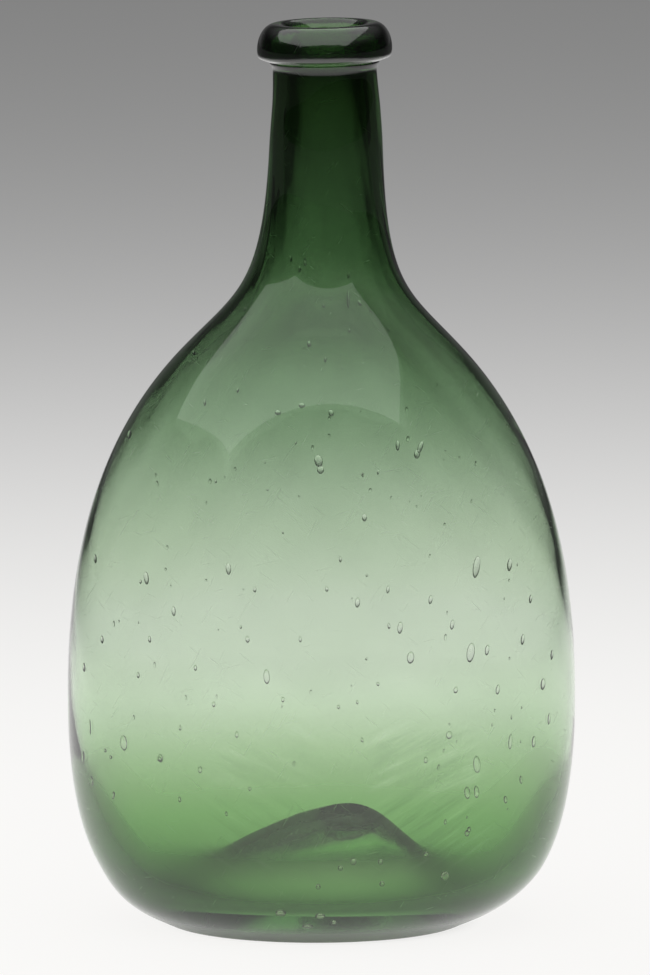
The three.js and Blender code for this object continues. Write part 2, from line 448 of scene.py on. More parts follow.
@dataclass(frozen=True)
class Shell:
    """A closed surface as arrays of points, four-sided faces and three-sided faces."""

    points: np.ndarray
    quads: np.ndarray
    triangles: np.ndarray

    @classmethod
    def turned(cls, rings: np.ndarray, steps: int, closure: Closure) -> "Shell":
        """Turns rings into a surface.

        Formula: at an angle, x is middle + half width * cos, y is half depth * sin, and z is the height.

        Args:
            rings: a table of rings, in the order that keeps the glass on the left of the way.
            steps: how many points a ring has.
            closure: how the ends are closed.

        Returns:
            The surface, facing out.
        """
        poles = closure is Closure.POLES
        body = rings[1:-1] if poles else rings
        angle = np.arange(steps) * (2 * math.pi / steps)
        half_width, half_depth, middle, height = (column[:, None] for column in body.T)
        grid = np.stack([
            middle + half_width * np.cos(angle),
            half_depth * np.sin(angle),
            np.broadcast_to(height, (len(body), steps)),
        ], axis=2)
        number = np.arange(len(body) * steps).reshape(len(body), steps)
        below = number[:-1] if poles else number
        above = number[1:] if poles else np.roll(number, -1, axis=0)
        quads = np.stack([below, np.roll(below, -1, axis=1), np.roll(above, -1, axis=1), above], axis=2)
        points = grid.reshape(-1, 3)
        triangles = np.empty((0, 3), int)
        if poles:
            start, end = len(points), len(points) + 1
            axis_points = [[ring[Column.MIDDLE], 0.0, ring[Column.HEIGHT]] for ring in rings[[0, -1]]]
            points = np.vstack([points, axis_points])
            low, high = number[0], number[-1]
            start_fan = np.stack([np.full(steps, start), np.roll(low, -1), low], axis=1)
            end_fan = np.stack([np.full(steps, end), high, np.roll(high, -1)], axis=1)
            triangles = np.vstack([start_fan, end_fan])
        return cls(points, quads.reshape(-1, 4), triangles)

    def moved(self, points: np.ndarray) -> "Shell":
        """The same faces on other points."""
        return Shell(points, self.quads, self.triangles)

    def joined(self, other: "Shell") -> "Shell":
        """Both surfaces in one."""
        first = len(self.points)
        return Shell(
            np.vstack([self.points, other.points]),
            np.vstack([self.quads, other.quads + first]),
            np.vstack([self.triangles, other.triangles + first]),
        )

    def to_object(self, name: str, glass: bpy.types.Material,
                  dull: np.ndarray | None = None) -> bpy.types.Object:
        """Makes the mesh object, smooth shaded, at the origin.

        Args:
            name: the object's name.
            glass: its material.
            dull: how dull the glass is at each point, kept as an attribute. Points past its end are bubbles.

        Returns:
            The object, linked to the scene.
        """
        mesh = bpy.data.meshes.new(name)
        corners = np.concatenate([self.quads.ravel(), self.triangles.ravel()]).astype(np.int32)
        sides = np.repeat([4, 3], [len(self.quads), len(self.triangles)])
        mesh.vertices.add(len(self.points))
        mesh.vertices.foreach_set("co", self.points.astype(np.float32).ravel())
        mesh.loops.add(len(corners))
        mesh.loops.foreach_set("vertex_index", corners)
        mesh.polygons.add(len(sides))
        mesh.polygons.foreach_set("loop_start", (np.cumsum(sides) - sides).astype(np.int32))
        mesh.polygons.foreach_set("use_smooth", np.ones(len(sides), bool))
        if dull is not None:
            bubbles = np.arange(len(self.points)) >= len(dull)
            numbers = {DULL: np.append(dull, np.zeros(bubbles.sum())), AIRY: bubbles}
            for attribute, values in numbers.items():
                data = mesh.attributes.new(attribute, "FLOAT", "POINT").data
                data.foreach_set("value", values.astype(np.float32))
        mesh.update(calc_edges=True)
        mesh.validate()
        mesh.materials.append(glass)
        return linked(name, mesh)


@dataclass(frozen=True)
class Wave:
    """A wave round a turned form: share * sin(turns * angle + climb * way + start)."""

    turns: int
    climb: float
    start: float = 0.0
    share: float = 1.0

    @staticmethod
    def summed(waves: tuple["Wave", ...], angle: np.ndarray, way: np.ndarray) -> np.ndarray:
        """The sum of some waves at each angle and each place along the way."""
        return sum(wave.share * np.sin(wave.turns * angle + wave.climb * way + wave.start) for wave in waves)


@dataclass(frozen=True)
class Hand:
    """What the glass blower's hand left in the shape: uneven walls, and a lip that sits a little askew."""

    sizes: FlaskSizes
    lip_tilt: float = math.radians(1.1)
    tilt_rise: float = 3.0 * MM
    lip_shift: float = 0.4 * MM
    shift_rise: float = 12.0 * MM
    uneven_wall: float = 0.12 * MM
    slow_waves: tuple[Wave, ...] = (Wave(2, 1.7, 1.3), Wave(3, -2.6, 0.0, 0.7), Wave(5, 3.4, 2.0, 0.5))
    swirl_depth: float = 0.03 * MM
    swirls: tuple[Wave, ...] = (Wave(11, 9.0), Wave(23, 15.0, 0.7, 0.6))
    fade_height: float = 30.0 * MM

    def askew(self, points: np.ndarray) -> np.ndarray:
        """Tilts and shifts the lip, and eases both out in the neck's last few millimetres.

        Formula: z rises by x times the tangent of the tilt, times an S-shaped step over the tilt's rise. x
        goes left by the shift, times such a step over the shift's rise.

        Args:
            points: points of the body or the lip.

        Returns:
            The moved points.
        """
        seat, height = self.sizes.seat_height, points[:, 2]
        slope = math.tan(self.lip_tilt) * ease(height, seat - self.tilt_rise, seat)
        moved = points.copy()
        moved[:, 2] += slope * (points[:, 0] - self.sizes.neck_shift)
        moved[:, 0] -= self.lip_shift * ease(height, seat - self.shift_rise, seat)
        return moved

    def inner_swell(self, points: np.ndarray) -> np.ndarray:
        """How far the inner surface lies towards the hollow from its even place, in metres.

        Formula: a sum of slow waves round and up the wall, and a finer swirl that climbs as it goes round,
        faded out near the lip's seat.

        Args:
            points: points of the inner surface.

        Returns:
            One distance a point.
        """
        sizes = self.sizes
        angle = np.arctan2(points[:, 1] / sizes.depth_share, points[:, 0])
        climb = points[:, 2] / sizes.belly_height
        slow = Wave.summed(self.slow_waves, angle, climb)
        swirl = Wave.summed(self.swirls, angle, climb)
        fade = 1.0 - ease(points[:, 2], sizes.seat_height - self.fade_height, sizes.seat_height)
        return fade * (self.uneven_wall * slow + self.swirl_depth * swirl)


@dataclass(frozen=True)
class Seed:
    """A bubble in the glass. Places and sizes are in millimetres, and its tilt in degrees from upright."""

    x: float
    z: float
    width: float
    length: float
    tilt: float = 0.0
    behind: bool = False


# The bubbles that the photograph shows, each as x, z, width, length and tilt.
SEEDS = tuple(Seed(*row) for row in (
    (6.6, 161.8, 0.8, 4.9), (-13.5, 71.4, 1.5, 3.7, 3.0), (-43.3, 93.6, 1.5, 3.2, 6.0),
    (-22.9, 97.6, 1.3, 3.0, 4.0), (-36.5, 86.3, 1.1, 2.5, 5.0), (-49.1, 51.7, 2.3, 3.9, 5.0),
    (-39.9, 49.1, 1.4, 2.2, 8.0), (36.9, 76.0, 2.2, 4.9, -8.0), (8.9, 89.8, 1.2, 2.5, -4.0),
    (19.4, 83.3, 1.3, 3.0, -6.0), (22.0, 75.8, 1.8, 3.0, -4.0), (41.0, 76.2, 1.2, 2.7, -9.0),
    (46.6, 96.4, 1.6, 3.2, -8.0), (38.3, 96.9, 2.0, 5.5, -10.0), (55.1, 65.4, 1.9, 2.9, -8.0),
    (31.6, 55.8, 1.6, 2.0), (46.9, 52.4, 1.2, 3.9, -6.0), (52.8, 51.3, 1.4, 2.9, -6.0),
    (38.5, 47.7, 2.0, 4.4, 6.0), (36.1, 40.6, 1.6, 3.2, 8.0), (38.4, 40.6, 1.4, 3.2, 4.0),
    (30.7, 19.2, 2.2, 2.6, 10.0), (25.9, 25.4, 1.3, 1.5), (7.9, 24.4, 1.5, 2.0),
    (14.6, 24.1, 1.2, 1.5), (15.0, 18.2, 1.3, 1.6), (36.1, 30.1, 1.4, 1.7),
    (36.6, 31.0, 1.1, 1.5), (-31.8, 147.1, 1.5, 2.3, 30.0), (-48.6, 126.1, 3.0, 2.5, 25.0),
    (23.6, 125.0, 1.6, 2.3, -10.0), (10.6, 110.4, 1.2, 2.0), (-10.1, 10.2, 2.7, 2.3),
    (-0.3, 9.5, 2.5, 2.1), (-3.4, 6.4, 2.7, 2.0), (3.1, 7.6, 1.5, 1.6),
    (-0.8, 17.7, 1.2, 1.6), (4.7, 22.7, 1.2, 1.5), (-4.8, 137.2, 1.5, 1.3),
    (-10.7, 135.4, 1.5, 1.3), (18.8, 127.3, 1.0, 2.6), (24.4, 126.6, 1.3, 3.1, -20.0),
    (2.4, 135.4, 1.2, 1.8, 10.0), (-0.7, 124.0, 2.0, 3.1, 10.0), (-0.2, 121.9, 1.7, 2.0),
    (-3.0, 151.5, 1.0, 1.8), (9.4, 160.7, 0.8, 1.7, 25.0), (-57.7, 53.9, 0.9, 3.9, 4.0),
    (-59.6, 45.4, 1.6, 3.4, -10.0), (-57.3, 39.9, 1.3, 2.7, 12.0), (-51.8, 37.6, 1.1, 2.2, -15.0),
    (-52.4, 47.4, 1.1, 1.0), (-53.8, 48.8, 1.1, 1.0), (-40.1, 48.8, 1.4, 1.2),
    (-56.3, 95.9, 1.5, 2.3, 8.0), (-54.5, 76.7, 1.2, 2.0, 6.0), (-59.2, 68.5, 1.5, 2.2, 4.0),
    (-45.4, 69.4, 0.9, 1.5, 4.0), (-31.1, 72.7, 0.8, 1.5), (-26.6, 63.9, 0.8, 1.5),
    (-16.4, 92.8, 0.8, 1.5), (-5.2, 80.8, 0.7, 1.5), (4.7, 100.4, 0.7, 1.5),
    (16.4, 92.8, 0.8, 2.0, -4.0), (26.9, 89.8, 1.0, 2.2, -6.0), (32.3, 83.3, 1.1, 2.5, -8.0),
    (43.7, 66.0, 1.2, 2.5, -8.0), (49.9, 77.6, 1.3, 2.7, -10.0), (56.7, 56.2, 1.2, 2.9, -6.0),
    (57.4, 72.2, 1.3, 2.5, -8.0), (51.9, 87.2, 1.1, 2.2, -10.0), (33.2, 67.0, 1.1, 1.7, -6.0),
    (25.8, 49.9, 1.0, 1.7), (45.7, 37.6, 1.2, 2.0, 10.0), (49.6, 42.1, 1.0, 2.2, 8.0),
    (-20.9, 56.6, 0.8, 1.7), (-35.1, 39.0, 0.8, 1.5, 8.0), (-30.0, 47.1, 1.1, 1.7),
    (-42.5, 78.7, 0.9, 1.7, 5.0), (-18.2, 80.5, 1.0, 1.7, 2.0), (-9.5, 65.8, 0.7, 1.5),
))


@dataclass(frozen=True)
class FineSeeds:
    """Small bubbles scattered over both faces of the bulb. Lengths are in millimetres, tilts in degrees."""

    count: int = 110
    draw_number: int = 7
    lowest: float = 30.0
    above_shoulder: float = 25.0
    reach_heights: tuple[float, ...] = (30.0, 57.0, 100.0, 147.0, 172.0)
    reaches: tuple[float, ...] = (50.0, 56.0, 50.0, 26.0, 12.0)
    widths: Span = (0.3, 0.8)
    lengthenings: Span = (1.1, 2.8)
    tilt_spread: float = 7.0
    share_behind: float = 0.6

    def seeds(self, sizes: FlaskSizes) -> tuple[Seed, ...]:
        """Draws the bubbles.

        Args:
            sizes: the flask's sizes.

        Returns:
            The bubbles.
        """
        draw = np.random.default_rng(self.draw_number)
        z = draw.uniform(self.lowest, sizes.shoulder_height / MM + self.above_shoulder, self.count)
        x = np.interp(z, self.reach_heights, self.reaches) * draw.uniform(-1.0, 1.0, self.count)
        width = draw.uniform(*self.widths, self.count)
        length = width * draw.uniform(*self.lengthenings, self.count)
        tilt = draw.normal(0.0, self.tilt_spread, self.count)
        behind = draw.uniform(0.0, 1.0, self.count) < self.share_behind
        rows = np.stack([x, z, width, length, tilt], axis=1).tolist()
        return tuple(Seed(*row, far) for row, far in zip(rows, behind.tolist()))


@dataclass(frozen=True)
class SeedField:
    """The bubbles in the body's wall, as hollow shells. Outside and inside are the rings of the wall."""

    outside: np.ndarray
    inside: np.ndarray
    around: int = 12
    along: int = 8
    flatness: float = 0.05
    deepest: float = 1.1 * MM
    farthest_share: float = 0.97
    probe: float = 0.5 * MM

    def _wall(self, rings: np.ndarray, x: np.ndarray, z: np.ndarray, side: np.ndarray) -> np.ndarray:
        """Points of a wall at given x and z, on the near or the far side."""
        table = rings[np.argsort(rings[:, Column.HEIGHT])]
        half_width, half_depth, middle = (
            np.interp(z, table[:, Column.HEIGHT], table[:, column])
            for column in (Column.HALF_WIDTH, Column.HALF_DEPTH, Column.MIDDLE)
        )
        across = np.clip((x - middle) / half_width, -self.farthest_share, self.farthest_share)
        deep = side * half_depth * np.sqrt(1 - across ** 2)
        return np.stack([middle + half_width * across, deep, z], axis=1)

    def shell(self, seeds: tuple[Seed, ...]) -> Shell:
        """Makes the bubbles.

        Formula: each is a ball with its axes scaled to the seed's width, a share of the wall, and the seed's
        length, along the wall's level way, its normal and its steep way, turned by the tilt.

        Args:
            seeds: the bubbles.

        Returns:
            One surface that faces into the bubbles.
        """
        table = np.array([astuple(seed) for seed in seeds])
        x, z, width, length = (table[:, :4] * MM).T
        width, length, tilt = width[:, None] / 2, length[:, None] / 2, np.radians(table[:, 4:5])
        side = np.where(table[:, 5], 1.0, -1.0)
        outer, inner = (self._wall(rings, x, z, side) for rings in (self.outside, self.inside))
        left, right, low, high = (
            self._wall(self.outside, x + level * self.probe, z + steep * self.probe, side)
            for level, steep in ((-1, 0), (1, 0), (0, -1), (0, 1)))
        level, steep = self._units(right - left), self._units(high - low)
        normal = self._units(np.cross(level, steep))
        across = level * np.cos(tilt) + steep * np.sin(tilt)
        upright = steep * np.cos(tilt) - level * np.sin(tilt)
        wall = np.linalg.norm(inner - outer, axis=1, keepdims=True)
        centre = outer + (inner - outer) / wall * np.minimum(wall / 2, self.deepest)
        thickness = np.minimum(width, wall * self.flatness)

        climb = np.linspace(0.0, math.pi, self.along + 1)
        ball = np.stack([np.sin(climb), np.sin(climb), 0 * climb, -np.cos(climb)], axis=1)
        unit = Shell.turned(ball, self.around, Closure.POLES)
        axes = np.stack([across * width, normal * thickness, upright * length], axis=1)
        points = centre[:, None] + (unit.points[None, :, :, None] * axes[:, None]).sum(axis=2)
        first = (np.arange(len(seeds)) * len(unit.points))[:, None, None]
        near = (side < 0)[:, None, None]
        quads, triangles = (
            np.where(near, faces[None, :, ::-1], faces[None]) + first
            for faces in (unit.quads, unit.triangles))
        return Shell(points.reshape(-1, 3), quads.reshape(-1, 4), triangles.reshape(-1, 3))

    @staticmethod
    def _units(vectors: np.ndarray) -> np.ndarray:
        """The vectors, each made one long."""
        return vectors / np.linalg.norm(vectors, axis=1, keepdims=True)


@dataclass(frozen=True)
class Wire:
    """One output of a node. Arithmetic on it and its methods add the nodes that work the result out."""

    bench: "Bench"
    socket: bpy.types.NodeSocket

    def _math(self, operation: str, first: object, second: object = 0.0, clamp: bool = False) -> "Wire":
        """Adds a Math node and gives its result."""
        settings = {"operation": operation, "use_clamp": clamp}
        return self.bench.result("ShaderNodeMath", settings, {0: first, 1: second})

    def __add__(self, other: object) -> "Wire":
        """Sum."""
        return self._math("ADD", self, other)

    __radd__ = __add__

    def __sub__(self, other: object) -> "Wire":
        """Difference."""
        return self._math("SUBTRACT", self, other)

    def __rsub__(self, other: object) -> "Wire":
        """Difference with the wire second."""
        return self._math("SUBTRACT", other, self)

    def __mul__(self, other: object) -> "Wire":
        """Product."""
        return self._math("MULTIPLY", self, other)

    __rmul__ = __mul__

    def __truediv__(self, other: object) -> "Wire":
        """Quotient."""
        return self._math("DIVIDE", self, other)

    def __rtruediv__(self, other: object) -> "Wire":
        """Quotient with the wire second."""
        return self._math("DIVIDE", other, self)

    def __pow__(self, other: object) -> "Wire":
        """Power."""
        return self._math("POWER", self, other)

    def most(self, other: object) -> "Wire":
        """The greater of the two."""
        return self._math("MAXIMUM", self, other)

    def held(self) -> "Wire":
        """The value kept between 0 and 1."""
        return self._math("ADD", self, 0.0, clamp=True)

    def axes(self) -> tuple["Wire", ...]:
        """The three parts of a vector."""
        node = self.bench.add("ShaderNodeSeparateXYZ", sockets={0: self})
        return tuple(self.bench.wire(node, axis) for axis in range(3))

    def mix(self, first: object, second: object) -> "Wire":
        """The colour at this share of the way from the first to the second."""
        node = self.bench.add("ShaderNodeMix", {"data_type": "RGBA"}, {0: self, 6: first, 7: second})
        return self.bench.wire(node, 2)

    def step(self, span: Span) -> "Wire":
        """0 where the span starts and 1 where it ends, with an S-shaped rise between."""
        return self.bench.result("ShaderNodeMapRange", {"interpolation_type": "SMOOTHSTEP"}, {
            "Value": self, "From Min": span[0], "From Max": span[1]})

    def band(self, rise: Span, fall: Span) -> "Wire":
        """1 between the rise and the fall, and 0 before and after them."""
        return self.step(rise) * (1.0 - self.step(fall))

    def noise(self, scale: float, detail: float, roughness: float) -> "Wire":
        """Noise at a place, from 0 to 1."""
        return self.bench.result("ShaderNodeTexNoise", {"noise_dimensions": "3D"}, {
            "Vector": self, "Scale": scale, "Detail": detail, "Roughness": roughness})

    def stretched_noise(self, scale: Triple, turn: Triple, detail: float) -> "Wire":
        """Noise in a frame that is turned and scaled, from 0 to 1."""
        mapped = self.bench.add("ShaderNodeMapping", {"vector_type": "TEXTURE"}, {0: self, 2: turn})
        scaled = self.bench.result("ShaderNodeVectorMath", {"operation": "MULTIPLY"}, {0: mapped, 1: scale})
        return scaled.noise(1.0, detail, 0.5)


class Bench:
    """Builds the nodes of one material, lamp or world."""

    def __init__(self, owner: bpy.types.ID) -> None:
        """Clears the nodes.

        Args:
            owner: the material, lamp or world.
        """
        owner.use_nodes = True
        self.tree = owner.node_tree
        self.tree.nodes.clear()

    def add(self, kind: str, settings: dict[str, object] | None = None,
            sockets: dict[str | int, object] | None = None) -> bpy.types.Node:
        """Adds a node.

        Args:
            kind: the node's type.
            settings: its properties, set before the sockets.
            sockets: what goes into its inputs, by name or place: a value, a wire or a node's first output.

        Returns:
            The node.
        """
        node = self.tree.nodes.new(kind)
        for name, value in (settings or {}).items():
            setattr(node, name, value)
        for name, value in (sockets or {}).items():
            if isinstance(value, bpy.types.Node):
                value = self.wire(value)
            if isinstance(value, Wire):
                self.tree.links.new(value.socket, node.inputs[name])
            else:
                node.inputs[name].default_value = value
        return node

    def wire(self, node: bpy.types.Node, output: str | int = 0) -> Wire:
        """One of a node's outputs, as a wire."""
        return Wire(self, node.outputs[output])

    def result(self, kind: str, settings: dict[str, object], sockets: dict[str | int, object]) -> Wire:
        """Adds a node and gives its first output."""
        return self.wire(self.add(kind, settings, sockets))

    def place(self, output: str = "Object") -> Wire:
        """Object coordinates, or another output of the coordinates."""
        return self.wire(self.add("ShaderNodeTexCoord"), output)

    def attribute(self, name: str) -> Wire:
        """A number kept at the points of the mesh."""
        return self.wire(self.add("ShaderNodeAttribute", {"attribute_name": name}), "Fac")


@dataclass(frozen=True)
class KickUp:
    """Where the glass is the pushed-up base, with a band of painted shade along its top and a dark mark on
    its crest.
    """

    depth_share: float = 0.76
    reach: Span = (29.0 * MM, 35.0 * MM)
    ceiling: Span = (30.0 * MM, 44.0 * MM)
    crest_side: float = 5.6 * MM
    slope_colour: Colour = (0.86, 0.98, 0.78, 1.0)

    # The ridge band is painted shade: a dark band along the kick-up's top, where its outline seen through the
    # glass is dark.
    ridge_front: Span = (-7.5 * MM, -5.5 * MM)
    ridge_back: Span = (2.0 * MM, 5.0 * MM)
    ridge_raggedness: float = 8.0 * MM
    ridge_dull: float = 0.3
    ridge_shade_colour: Colour = (0.24, 0.23, 0.19, 1.0)

    mark_reach: Span = (5.0 * MM, 6.0 * MM)
    mark_raggedness: float = 9.0 * MM
    mark_height: Span = (25.6 * MM, 26.2 * MM)
    mark_colour: Colour = (0.01, 0.02, 0.01, 1.0)

    rag_scale: float = 420.0
    rag_detail: float = 3.0
    rag_roughness: float = 0.7

    def inside(self, place: Wire) -> Wire:
        """1 on the pushed-up base and 0 elsewhere, with a soft step between."""
        x, y, z = place.axes()
        deep = y / self.depth_share
        across = (x * x + deep * deep) ** 0.5
        return (1.0 - across.step(self.reach)) * (1.0 - z.step(self.ceiling))

    def ragged(self, place: Wire) -> Wire:
        """A fine noise about 0 that makes edges uneven."""
        return place.noise(self.rag_scale, self.rag_detail, self.rag_roughness) - 0.5

    def ridge(self, place: Wire) -> Wire:
        """1 along the middle of the flask's depth, where the kick-up is highest, and 0 before and behind. It
        places the band of painted shade and some dullness.
        """
        uneven = place.axes()[1] + self.ragged(place) * self.ridge_raggedness
        return uneven.band(self.ridge_front, self.ridge_back)

    def mark(self, place: Wire) -> Wire:
        """1 on the sooty mark at the kick-up's crest, inside the flask, and 0 elsewhere."""
        x, y, z = place.axes()
        aside = x - self.crest_side
        distance = (aside * aside + y * y) ** 0.5 + self.ragged(place) * self.mark_raggedness
        return (1.0 - distance.step(self.mark_reach)) * z.band(self.mark_height, self.ceiling)


@dataclass(frozen=True)
class Swirls:
    """Dark and light streaks over the kick-up, along lines that rise outwards on both sides of its crest."""

    crest_side: float = KickUp.crest_side
    rise: float = 0.62
    along_scale: float = 40.0
    across_scale: float = 320.0
    detail: float = 4.0
    roughness: float = 0.65
    low: Span = (20.0 * MM, 27.0 * MM)
    high: Span = (34.0 * MM, 46.0 * MM)
    middle: Span = (3.0 * MM, 14.0 * MM)
    sides: Span = (26.0 * MM, 42.0 * MM)
    share: float = 0.8
    left_share: float = 0.4
    left_to_right: Span = (0.0, 10.0 * MM)
    streak: Span = (0.5, 0.72)
    dark: Colour = (0.42, 0.55, 0.38, 1.0)
    light: Colour = (0.95, 1.0, 0.92, 1.0)

    def over(self, place: Wire, kick: Wire, colour: Wire) -> Wire:
        """Lays the streaks over a colour.

        Formula: noise that changes slowly along lines z = rise times the distance aside of the crest.

        Args:
            place: where on the piece.
            kick: 1 on the pushed-up base, which has no streaks.
            colour: the colour.

        Returns:
            The colour with the streaks.
        """
        x, y, z = place.axes()
        aside = x - self.crest_side
        beside = (aside * aside) ** 0.5
        across = (z - beside * self.rise) * self.across_scale
        drawn_out = place.bench.result("ShaderNodeCombineXYZ", {}, {
            0: beside * self.along_scale, 1: y * self.along_scale, 2: across})
        noise = drawn_out.noise(1.0, self.detail, self.roughness)
        zone = z.band(self.low, self.high) * (1.0 - kick) * beside.band(self.middle, self.sides)
        rightwards = self.left_share + (1.0 - self.left_share) * aside.step(self.left_to_right)
        zone = zone * (self.share * rightwards)
        colour = (noise.step(self.streak) * zone).mix(colour, self.dark)
        return ((1.0 - noise).step(self.streak) * zone).mix(colour, self.light)


@dataclass(frozen=True)
class Scratches:
    """Fine hairlines, more of them on the belly.

    A family of them has its turn about y, how close its lines are and the noise from which one starts.
    """

    families: tuple[Triple, ...] = ((0.5, 5200.0, 0.75), (-0.9, 6100.0, 0.76), (1.35, 4700.0, 0.77))
    depth_scale: float = 160.0
    length_scale: float = 90.0
    softness: float = 0.04
    fewer_above: Span = (115.0 * MM, 150.0 * MM)
    fewer: float = 0.025
    roughness: float = 0.35
    relief: float = 0.3

    def lines(self, place: Wire) -> Wire:
        """1 on a hairline and 0 beside it."""
        fewer = place.axes()[2].step(self.fewer_above) * self.fewer
        found = []
        for turn, closeness, least in self.families:
            scale = (closeness, self.depth_scale, self.length_scale)
            noise = place.stretched_noise(scale, (0.0, turn, 0.0), 1.0) - fewer
            found.append(noise.step((least, least + self.softness)))
        return reduce(Wire.most, found)


@dataclass(frozen=True)
class Glass:
    """Green bottle glass. Absorption is per millimetre, for red, green and blue.

    The skin is the polished surface that reflects the room, weaker in the cove under the lip. A tint has its
    height above the table in millimetres and its colour. The tint darkens towards the base and the neck,
    partly because thicker glass is a deeper green and partly as painted shade.
    """

    name: str
    absorption: Triple = (0.08, 0.037, 0.09)
    ior: float = 1.52
    polish: float = 0.0
    clearness: float = 1.0
    ripple: float = 0.15
    ripple_scale: Triple = (90.0, 90.0, 45.0)
    ripple_turn: Triple = (0.1, 0.2, 0.0)
    ripple_detail: float = 2.0
    bump_height: float = 0.1 * MM
    skin: float = 0.45
    skin_ior: float = 1.6
    cove_start: Span = (196.0 * MM, 206.0 * MM)
    cove_end: Span = (215.5 * MM, 219.0 * MM)
    cove_skin: float = 0.1
    kick_up: KickUp = KickUp()
    swirls: Swirls = Swirls()
    scratches: Scratches = Scratches()
    # Darker towards the base and the neck: partly the deeper green of thicker glass, partly painted shade.
    tints_and_painted_shade: tuple[tuple[float, Triple], ...] = (
        (0.0, (0.24, 0.29, 0.18)), (9.0, (0.40, 0.58, 0.31)), (18.0, (0.43, 0.66, 0.33)),
        (26.0, (0.52, 0.69, 0.43)), (34.0, (0.61, 0.75, 0.53)), (50.0, (0.77, 0.84, 0.74)),
        (62.0, (0.95, 0.98, 0.93)), (75.0, (1.00, 1.00, 1.00)), (95.0, (0.94, 0.97, 0.92)),
        (115.0, (0.82, 0.88, 0.81)), (135.0, (0.61, 0.73, 0.60)), (152.0, (0.45, 0.59, 0.43)),
        (175.0, (0.36, 0.50, 0.34)), (200.0, (0.28, 0.41, 0.25)), (210.0, (0.22, 0.34, 0.18)),
        (219.5, (0.11, 0.20, 0.08)),
    )

    def height_tint_and_shade(self, height: Wire, top: float) -> Wire:
        """The tint by height above the table, up to the flask's top: partly the deeper green of thick glass,
        partly painted shade.
        """
        ramp = height.bench.add("ShaderNodeValToRGB", sockets={0: (height / top).held()})
        elements = ramp.color_ramp.elements
        elements.remove(elements[1])
        for level, colour in self.tints_and_painted_shade:
            stop = elements.new(level * MM / top) if level else elements[0]
            stop.color = (*colour, 1.0)
        return height.bench.wire(ramp)

    def tint(self, place: Wire, top: float) -> Wire:
        """The tint: by height in the wall, partly painted shade, a band of painted shade on the kick-up's
        ridge, with swirls and a dark mark.

        Args:
            place: where on the piece.
            top: the flask's height.

        Returns:
            A colour.
        """
        base = self.kick_up
        kick = base.inside(place)
        # Painted shade: a dark band over the pale kick-up, along its ridge.
        low = base.ridge(place).mix(base.slope_colour, base.ridge_shade_colour)
        colour = kick.mix(self.height_tint_and_shade(place.axes()[2], top), low)
        return base.mark(place).mix(self.swirls.over(place, kick, colour), base.mark_colour)

    def shine(self, place: Wire) -> Wire:
        """How much skin reflects: all on the wall, less in the cove, none on the kick-up and the bubbles."""
        cove = place.axes()[2].band(self.cove_start, self.cove_end) * (1.0 - self.cove_skin)
        wall = self.skin * (1.0 - cove) * (1.0 - self.kick_up.inside(place))
        return wall * (1.0 - place.bench.attribute(AIRY))

    def material(self, top: float) -> bpy.types.Material:
        """Makes the material.

        Args:
            top: the flask's height.

        Returns:
            The material.
        """
        material = bpy.data.materials.new(self.name)
        bench = Bench(material)
        place = bench.place()
        base, scratches = self.kick_up, self.scratches
        lines, mark = scratches.lines(place), base.mark(place)
        ridge = base.ridge(place) * base.inside(place) * base.ridge_dull
        rough = self.polish + lines * scratches.roughness + bench.attribute(DULL) + ridge + mark
        waves = place.stretched_noise(self.ripple_scale, self.ripple_turn, self.ripple_detail)
        relief = waves - lines * scratches.relief
        bump = bench.add("ShaderNodeBump", sockets={
            "Strength": self.ripple, "Distance": self.bump_height, "Height": relief})
        glass = bench.add("ShaderNodeBsdfPrincipled", sockets={
            "Base Color": bench.attribute(AIRY).mix(self.tint(place, top), WHITE),
            "Roughness": rough.held(),
            "Metallic": mark,
            "IOR": self.ior,
            "Transmission Weight": self.clearness,
            "Coat Weight": self.shine(place),
            "Coat IOR": self.skin_ior,
            "Normal": bump,
        })
        densest = max(self.absorption)
        passed = (*(1.0 - one / densest for one in self.absorption), 1.0)
        depth = bench.add("ShaderNodeVolumeAbsorption", sockets={"Color": passed, "Density": densest / MM})
        bench.add("ShaderNodeOutputMaterial", sockets={"Surface": glass, "Volume": depth})
        return material


